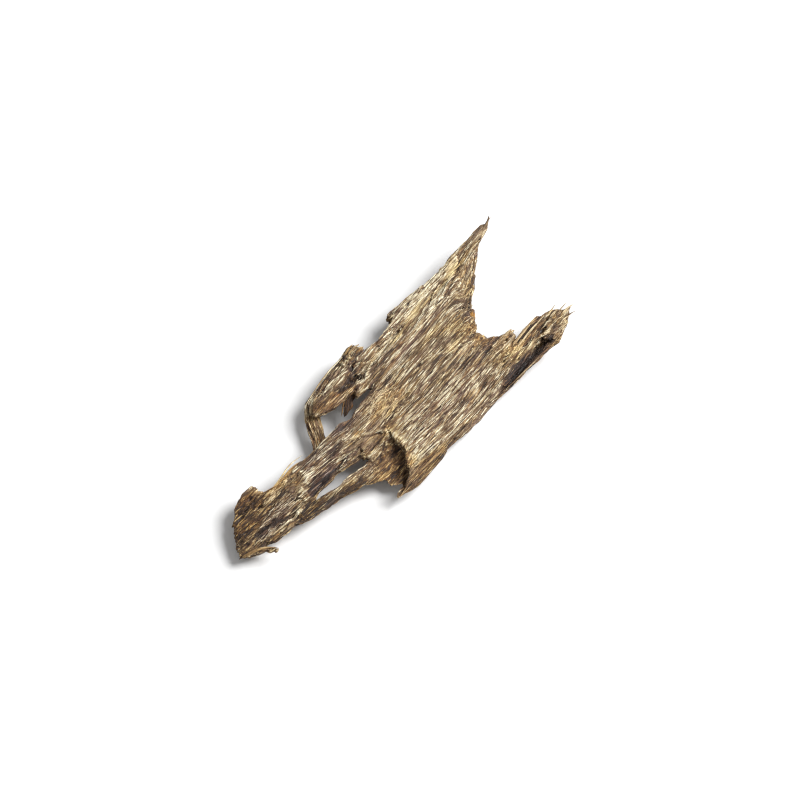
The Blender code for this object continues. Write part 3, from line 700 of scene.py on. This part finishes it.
def patch_finish(points, below):
    """What the pale, the dark (partly painted shade) and the cold patches give each place. They fade out
    towards the underside.
    """
    rows = {"pale": PALE, "dark_and_shade": DARK_AND_SHADE, "cold": COLD}
    return {name: patches(points, rows[name]) * (1 - below) for name in rows}


def weathered(node):
    """The fine mesh with the weathered surface and the finish of every vertex, and which faces look up."""
    mesh = finely_meshed(node)
    place_vertices(mesh, pointed_tip(smoothed(mesh, MESH_SMOOTHING)))
    sloped_hood(mesh)
    places, normals = vertex_places(mesh), vertex_normals(mesh)
    stands_out = np.sum((places - smoothed(mesh, WIDE_SMOOTHING)) * normals, axis=1)
    below = share_below(normals[:, 2])
    above = eased((normals[:, 2] + ABOVE_EDGE) / ABOVE_FADE)
    looks_up = normals[faces_of(mesh), 2].mean(axis=1) > LOOKS_DOWN
    grain = grain_places(places)
    height, tone = relief(grain)
    carving, paleness_and_shade = carved(places)
    lumps = crinkles(places)
    smooth = np.minimum(patches(places, SMOOTH), 1)
    finish = patch_finish(places, below)
    finish["pale"] += EDGE_PALENESS * eased(stands_out / EDGE_HEIGHT)
    finish["tone"] = tone + paleness_and_shade * above + LUMP_TONE * lumps
    finish["ochre"] = np.maximum(patches(places, OCHRE) * (1 - below), OCHRE_BELOW * below)
    finish["contrast"] = contrast(places, smooth)
    finish["resin"] = resin_drop(places)
    flatness = 1 - SMOOTH_FLATTENS * smooth - BELOW_FLATTENS * below
    flatness *= 1 - TWIG_FLATTENS * patches(places, TWIG)
    places = places + normals * (height * flatness + carving * above + lumps)[:, None]
    places[:, 0] += fray(places, normals)
    places[:, 2] = np.maximum(places[:, 2], 0)
    place_vertices(mesh, places)
    return mesh, grain, finish, looks_up


def part_of(name, whole, grain, finish, chosen):
    """A piece with the chosen faces of the whole mesh, shaded as if the rest were still there."""
    used, corners = np.unique(faces_of(whole)[chosen], return_inverse=True)
    mesh = new_mesh(name, vertex_places(whole)[used], corners.reshape(-1, 4).tolist())
    mesh.shade_smooth()
    mesh.normals_split_custom_set_from_vertices(vertex_normals(whole)[used].tolist())
    add_finish(mesh, grain[used], {key: values[used] for key, values in finish.items()})
    return linked(name, mesh)


def tube_faces(first, rings, sides):
    """The faces of a closed tube whose corners lie ring by ring from the first one on."""
    faces = []
    for ring in range(rings - 1):
        a = first + ring * sides
        for step in range(sides):
            b = (step + 1) % sides
            faces.append((a + step, a + b, a + sides + b, a + sides + step))
    last = first + (rings - 1) * sides
    return faces + [tuple(range(first + sides - 1, first - 1, -1)), tuple(range(last, last + sides))]


def sliver_chances(places, normals):
    """How likely every vertex is to carry a sliver."""
    crowd = CROWD_MEAN + noise(places, "sliver crowd") + CROWD_PALE * patches(places, PALE)
    crowd = np.clip(crowd, *CROWD_LIMITS)
    crowd *= 1 - CROWD_SMOOTH * np.minimum(patches(places, SMOOTH + FLAKED), 1)
    weight = np.where(normals[:, 2] > CROWD_FACES_UP, 1.0, CROWD_SIDES) * crowd
    return weight / weight.sum()


def sliver_corners(nearest, direction, width, lift):
    """For each place along a sliver its left side, its crest and its right side."""
    corners = []
    for share, size, (at, up, _, _) in zip(SLIVER_SHARES, SLIVER_TAPER, nearest):
        side = up.cross(Vector(direction)).normalized() * width * size / 2
        raised = up * lift * share
        crest = up * (SLIVER_CREST + width * SLIVER_THICKNESS * size)
        corners += [at - side + raised, at + raised + crest, at + side + raised]
    return corners


def slivers(whole):
    """Small splinters that lie along the grain, sunk halfway into the surface."""
    rng = np.random.default_rng(SLIVER_SEED)
    places, normals = vertex_places(whole), vertex_normals(whole)
    tree = BVHTree.FromPolygons(places.tolist(), faces_of(whole).tolist())
    chosen = rng.choice(len(places), SLIVERS, replace=False, p=sliver_chances(places, normals))
    corners, faces, tones, below = [], [], [], []
    for start, normal, direction in zip(places[chosen], normals[chosen], grain_direction(places[chosen])):
        direction = direction - normal * (direction @ normal)
        direction /= np.linalg.norm(direction)
        length, width = rng.uniform(*SLIVER_LENGTHS), rng.uniform(*SLIVER_WIDTHS)
        lift = rng.uniform(0, SLIVER_LIFT) * (rng.random() < LIFTED_SHARE)
        tone = rng.choice(SLIVER_TONES, p=SLIVER_TONE_SHARES) + rng.normal(0, TONE_SPREAD)
        line = [start + direction * length * (share - SLIVER_ROOT) for share in SLIVER_SHARES]
        nearest = [tree.find_nearest(point) for point in line]
        if max(found[3] for found in nearest) > SLIVER_REACH:
            continue
        faces += tube_faces(len(corners), len(SLIVER_TAPER), 3)
        added = sliver_corners(nearest, direction, width, lift)
        corners += added
        tones += [tone] * len(added)
        below += [float(share_below(normal[2]))] * len(added)
    corners, below = np.array(corners), np.array(below)
    corners[:, 2] = np.maximum(corners[:, 2], 0)
    mesh = new_mesh("agarwood_slivers", corners, faces)
    add_finish(mesh, grain_places(corners), patch_finish(corners, below) | {
        "tone": tones,
        "ochre": np.maximum(patches(corners, OCHRE), OCHRE_BELOW * below),
        "contrast": contrast(corners, np.minimum(patches(corners, SMOOTH), 1)),
        "resin": resin_drop(corners),
    })
    return linked("agarwood_slivers", mesh)


def smooth_line(points, count):
    """Places at even steps on a smooth curve through the points."""
    points = np.array(points, float)
    points = np.vstack([2 * points[0] - points[1], points, 2 * points[-1] - points[-2]])
    at = np.linspace(0, len(points) - 3, count)
    piece = np.minimum(at.astype(int), len(points) - 4)
    t = (at - piece)[:, None]
    before, start, end, after = (points[piece + shift] for shift in range(4))
    bend = (2 * before - 5 * start + 4 * end - after) * t**2 + (3 * start - before - 3 * end + after) * t**3
    return start + ((end - before) * t + bend) / 2


def splinter_taper():
    """How wide a splinter is from its base to its tip, as a share of its width."""
    share = np.linspace(0, 1, SPLINTER_RINGS)
    base = np.sqrt(np.clip(share / SPLINTER_BASE, SPLINTER_START, 1))
    return base * (1 - share**SPLINTER_BULGE) ** SPLINTER_BLUNTNESS + SPLINTER_POINT


def splinter(number, width, thickness, line):
    """The corners of one splinter, ring by ring, and their places in the grain."""
    turn = np.linspace(0, 2 * math.pi, SPLINTER_SIDES, endpoint=False)
    taper = splinter_taper()[:, None]
    line = smooth_line(line, SPLINTER_RINGS)
    along = np.gradient(line, axis=0)
    travelled = np.cumsum(np.linalg.norm(along, axis=1))
    side = np.cross((0, 0, 1), along)
    side /= np.linalg.norm(side, axis=1, keepdims=True)
    up = np.cross(along, side)
    up /= np.linalg.norm(up, axis=1, keepdims=True)
    wide, high = np.cos(turn) * width / 2, np.sin(turn) * thickness / 2
    spots = np.stack(np.broadcast_arrays(
        travelled[:, None], number * SPLINTER_SHIFT + wide * taper, high * taper,
    ), axis=-1).reshape(-1, 3)
    swell = taper * (1 + noise(spots, "splinter swell")).reshape(SPLINTER_RINGS, -1)
    out, lifted = side[:, None] * (wide * swell)[..., None], up[:, None] * (high * swell)[..., None]
    return (line[:, None] + out + lifted).reshape(-1, 3), spots


def splinters():
    """The larger splinters: pointed strands with ridges along them."""
    corners, faces, grain, tones, ochres = [], [], [], [], []
    for number, (width, thickness, pale, ochre, *line) in enumerate(SPLINTERS):
        faces += tube_faces(number * SPLINTER_RINGS * SPLINTER_SIDES, SPLINTER_RINGS, SPLINTER_SIDES)
        added, spots = splinter(number, width, thickness, line)
        corners.append(added)
        grain.append(spots + line[0])
        tones.append(pale + noise(spots, "splinter tone"))
        ochres.append(np.full(len(spots), ochre))
    corners = np.vstack(corners)
    corners[:, 2] = np.maximum(corners[:, 2], 0)
    mesh = new_mesh("agarwood_splinters", corners, faces)
    mesh.shade_smooth()
    none = np.zeros(len(corners))
    add_finish(mesh, np.vstack(grain), {
        "tone": np.concatenate(tones),
        "pale": none + SPLINTER_PALENESS,
        "dark_and_shade": none,
        "ochre": np.concatenate(ochres),
        "cold": none,
        "contrast": none + SPLINTER_CONTRAST,
        "resin": resin_drop(corners),
    })
    return linked("agarwood_splinters", mesh)


class Nodes:
    """Short calls for building one material's nodes."""

    def __init__(self, name):
        self.material = bpy.data.materials.new(name)
        self.material.use_nodes = True
        self.tree = self.material.node_tree
        self.shader = self.tree.nodes["Principled BSDF"]

    def new(self, kind, **settings):
        node = self.tree.nodes.new(kind)
        for key, value in settings.items():
            setattr(node, key, value)
        return node

    def put(self, value, socket):
        """Links a socket to another one, or gives it a value."""
        if isinstance(value, bpy.types.NodeSocket):
            self.tree.links.new(value, socket)
        else:
            socket.default_value = value

    def attribute(self, name, output="Fac"):
        return self.new("ShaderNodeAttribute", attribute_name=name).outputs[output]

    def math(self, operation, *values):
        node = self.new("ShaderNodeMath", operation=operation)
        for value, socket in zip(values, node.inputs):
            self.put(value, socket)
        return node.outputs[0]

    def weighed(self, start, parts):
        """A start value plus each part's weight times how far the part is over its middle."""
        total = start - sum(weight * middle for _, weight, middle in parts)
        for value, weight, _ in parts:
            total = self.math("MULTIPLY_ADD", value, weight, total)
        return total

    def ramp(self, value, stops):
        """The colour at a value, between stops that each have a position and a colour."""
        node = self.new("ShaderNodeValToRGB")
        elements = node.color_ramp.elements
        while len(elements) < len(stops):
            elements.new(0.5)
        for element, (position, stop_colour) in zip(elements, stops):
            element.position = position
            element.color = (*stop_colour, 1.0)
        self.put(value, node.inputs[0])
        return node.outputs[0]

    def between(self, value, low, high):
        """The share that a value has covered from low to high."""
        node = self.new("ShaderNodeMapRange", clamp=True)
        self.put(value, node.inputs["Value"])
        self.put(low, node.inputs["From Min"])
        self.put(high, node.inputs["From Max"])
        return node.outputs["Result"]

    def mix(self, share, a, b, blend="MIX"):
        """Colour a with a share of colour b over it."""
        node = self.new("ShaderNodeMix", data_type="RGBA", blend_type=blend)
        self.put(share, node.inputs[0])
        colours = [socket for socket in node.inputs if socket.type == "RGBA"]
        for value, socket in zip((a, b), colours):
            self.put(value if isinstance(value, bpy.types.NodeSocket) else (*value, 1.0), socket)
        return next(socket for socket in node.outputs if socket.type == "RGBA")

    def times(self, a, b):
        """Colour a multiplied by colour b."""
        return self.mix(1.0, a, b, "MULTIPLY")

    def scaled(self, places, factors):
        node = self.new("ShaderNodeVectorMath", operation="MULTIPLY")
        self.put(places, node.inputs[0])
        node.inputs[1].default_value = factors
        return node.outputs[0]

    def noise(self, places, per_mm, detail=2.0, roughness=0.5):
        """Noise with so many cells in a millimetre along, across and into the grain."""
        node = self.new("ShaderNodeTexNoise")
        self.put(self.scaled(places, per_mm), node.inputs["Vector"])
        node.inputs["Scale"].default_value = 1.0
        node.inputs["Detail"].default_value = detail
        node.inputs["Roughness"].default_value = roughness
        return node.outputs["Fac"]

    def cells(self, places, feature):
        node = self.new("ShaderNodeTexVoronoi", voronoi_dimensions="3D", feature=feature)
        self.put(places, node.inputs["Vector"])
        node.inputs["Scale"].default_value = 1.0
        return node


def colour(code):
    """Linear red, green and blue of a six-digit web colour."""
    parts = [int(code[i:i + 2], 16) / 255 for i in (0, 2, 4)]
    return tuple(p / 12.92 if p <= 0.04045 else ((p + 0.055) / 1.055) ** 2.4 for p in parts)


def web_stops(stops):
    """Stops for a ramp from positions and web colours."""
    return [(position, colour(code)) for position, code in stops]


def fibre_cells(nodes, grain, length, width):
    """Long pointed cells, as of split fibres: two random numbers for each, and the way to its gap."""
    places = nodes.scaled(grain, (1 / length, 1 / width, 1 / width))
    parts = nodes.new("ShaderNodeSeparateColor")
    nodes.put(nodes.cells(places, "F1").outputs["Color"], parts.inputs[0])
    return parts.outputs[0], parts.outputs[1], nodes.cells(places, "DISTANCE_TO_EDGE").outputs["Distance"]


def wood_tone(nodes, grain, long_cell, short_cell, fine):
    """How pale the wood is: the tones of its fibres over the ground that the vertices give."""
    thin_cell, _, _ = fibre_cells(nodes, grain, *THIN_FIBRES)
    ground = nodes.weighed(0.5, (
        (nodes.attribute("tone"), 0.1, 0.0),
        (nodes.attribute("pale"), 0.22, 0.0),
        (nodes.attribute("dark_and_shade"), -0.18, 0.0),
    ))
    detail = nodes.weighed(0.0, (
        (long_cell, 0.28, 0.5),
        (short_cell, 0.2, 0.5),
        (nodes.between(thin_cell, 0.8, 0.92), 0.26, 0.15),
        (fine, 0.6, 0.5),
        (nodes.noise(grain, CLUSTERS_PER_MM), 0.5, 0.5),
    ))
    return nodes.math("MULTIPLY_ADD", detail, nodes.attribute("contrast"), ground)


def washed(nodes, grain, streaks, tone):
    """The streaks with washes of cream, and of purple between the pale fibres."""
    wash = nodes.weighed(0.5, (
        (nodes.noise(grain, WASHES_PER_MM), 1.0, 0.5),
        (nodes.attribute("cold"), 0.2, 0.0),
        (nodes.attribute("ochre"), -0.1, 0.0),
    ))
    streaks = nodes.mix(nodes.between(wash, 0.5, 0.35), streaks, nodes.times(streaks, colour(CREAM)))
    purple = nodes.math("MULTIPLY", nodes.between(wash, 0.5, 0.7), nodes.between(tone, 0.75, 0.5))
    return nodes.mix(purple, streaks, nodes.times(streaks, colour(PURPLE)))


def in_patches(nodes, streaks, fine):
    """The streaks with the ochre patches, the dark patches, which are partly painted shade, and the drop of
    resin.
    """
    warm = nodes.times(streaks, colour(WARM))
    # The dark patches take these shadow colours: partly the wood's own dark colour, partly painted shade
    shadow = nodes.mix(nodes.attribute("cold"), colour(SHADOW), colour(COLD_SHADOW))
    shaded = nodes.times(streaks, shadow)
    streaks = nodes.mix(nodes.math("MULTIPLY", nodes.attribute("ochre"), OCHRE_SHARE), streaks, warm)
    streaks = nodes.mix(nodes.math("MULTIPLY", nodes.attribute("dark_and_shade"), DARK_SHARE), streaks, shaded)
    resin = nodes.mix(nodes.between(fine, 0.4, 0.6), colour(RESIN), colour(PALE_RESIN))
    return nodes.mix(nodes.between(nodes.attribute("resin"), 0.3, 0.7), streaks, resin)


def wood_material():
    """Dark streaks and pale fibres along the grain, with painted shade in the gaps between the fibres."""
    nodes = Nodes("agarwood")
    grain = nodes.attribute("grain", "Vector")
    long_cell, cell_hue, long_gap = fibre_cells(nodes, grain, *LONG_FIBRES)
    short_cell, _, short_gap = fibre_cells(nodes, grain, *SHORT_FIBRES)
    fine = nodes.noise(grain, FINE_FIBRES_PER_MM, detail=3.0, roughness=0.6)
    tone = wood_tone(nodes, grain, long_cell, short_cell, fine)
    streaks = nodes.ramp(tone, web_stops(STREAKS))
    tinted = nodes.times(streaks, nodes.ramp(cell_hue, web_stops(FIBRE_TINTS)))
    streaks = nodes.mix(nodes.between(tone, 0.85, 0.6), streaks, tinted)
    streaks = in_patches(nodes, washed(nodes, grain, streaks, tone), fine)
    # Painted shade in the gaps between the fibre cells
    gap = nodes.math("MULTIPLY", nodes.between(long_gap, 0.0, 0.12), nodes.between(short_gap, 0.0, 0.1))
    nodes.put(nodes.times(streaks, nodes.ramp(gap, GAP_SHADES)), nodes.shader.inputs["Base Color"])
    nodes.put(nodes.ramp(tone, ROUGHNESS), nodes.shader.inputs["Roughness"])
    bump = nodes.new("ShaderNodeBump")
    bump.inputs["Strength"].default_value = BUMP_STRENGTH
    bump.inputs["Distance"].default_value = BUMP_HEIGHT * MM
    height = nodes.weighed(0.0, ((long_cell, 0.5, 0.0), (fine, 0.8, 0.0), (gap, 0.5, 0.0)))
    nodes.put(height, bump.inputs["Height"])
    nodes.put(bump.outputs[0], nodes.shader.inputs["Normal"])
    return nodes.material


def floor():
    """A wide pale floor."""
    nodes = Nodes("pale_floor")
    nodes.shader.inputs["Base Color"].default_value = (*FLOOR_GREY, 1.0)
    nodes.shader.inputs["Roughness"].default_value = FLOOR_ROUGHNESS
    mesh = bpy.data.meshes.new("floor")
    corners = [(x * FLOOR_REACH, y * FLOOR_REACH, 0) for x, y in ((-1, -1), (1, -1), (1, 1), (-1, 1))]
    mesh.from_pydata(corners, [], [(0, 1, 2, 3)])
    mesh.materials.append(nodes.material)
    return linked("floor", mesh)


def picture_axes():
    """Unit vectors to the picture's right, to its top and back to the camera."""
    flat = math.cos(ELEVATION)
    back = Vector((math.sin(AZIMUTH) * flat, -math.cos(AZIMUTH) * flat, math.sin(ELEVATION)))
    right = Vector((math.cos(AZIMUTH), math.sin(AZIMUTH), 0))
    return right, back.cross(right), back


def camera():
    """The camera at the photograph's viewing angle."""
    back = picture_axes()[2]
    data = bpy.data.cameras.new("camera")
    data.sensor_width, data.lens = SENSOR, LENS
    made = linked("camera", data)
    made.location = TARGET + back * DISTANCE
    made.rotation_euler = (-back).to_track_quat("-Z", "Y").to_euler()
    bpy.context.scene.camera = made


def studio():
    """A large soft light high on the picture's right, and pale surroundings."""
    world = bpy.data.worlds.new("studio")
    world.use_nodes = True
    background = world.node_tree.nodes["Background"]
    background.inputs["Color"].default_value = (1, 1, 1, 1)
    background.inputs["Strength"].default_value = SURROUNDINGS
    bpy.context.scene.world = world
    right, up, _ = picture_axes()
    away = Vector((up.x, up.y, 0)).normalized()
    direction = (right * KEY_RIGHT + away * KEY_AWAY + Vector((0, 0, KEY_UP))).normalized()
    data = bpy.data.lights.new("key", "AREA")
    data.shape = "DISK"
    data.size, data.energy = KEY_SIZE, KEY_POWER
    key = linked("key", data)
    key.location = TARGET + direction * KEY_DISTANCE
    key.rotation_euler = direction.to_track_quat("Z", "Y").to_euler()
    bpy.context.scene.view_settings.view_transform = "Standard"


def sharp_picture():
    """Keeps streaks of one pixel as sharp as in the photograph."""
    settings = bpy.context.scene.cycles
    settings.filter_width = FILTER_WIDTH
    settings.denoising_prefilter = "NONE"


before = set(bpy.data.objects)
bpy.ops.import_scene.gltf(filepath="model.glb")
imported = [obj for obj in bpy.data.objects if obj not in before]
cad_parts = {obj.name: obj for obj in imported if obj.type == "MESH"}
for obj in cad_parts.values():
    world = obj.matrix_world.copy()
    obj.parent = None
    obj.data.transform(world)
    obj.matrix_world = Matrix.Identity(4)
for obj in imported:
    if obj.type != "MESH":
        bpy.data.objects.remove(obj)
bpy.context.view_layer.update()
camera()
studio()
sharp_picture()
floor()

whole, grain, finish, looks_up = weathered(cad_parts[NODE])
upper = part_of("agarwood_upper_side", whole, grain, finish, looks_up)
under = part_of("agarwood_underside", whole, grain, finish, ~looks_up)
loose = slivers(whole)
large = splinters()
bpy.data.meshes.remove(whole)
material = wood_material()
for piece in (upper, under, loose, large):
    piece.data.materials.append(material)
    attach(piece, "root")
    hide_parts(NODE)
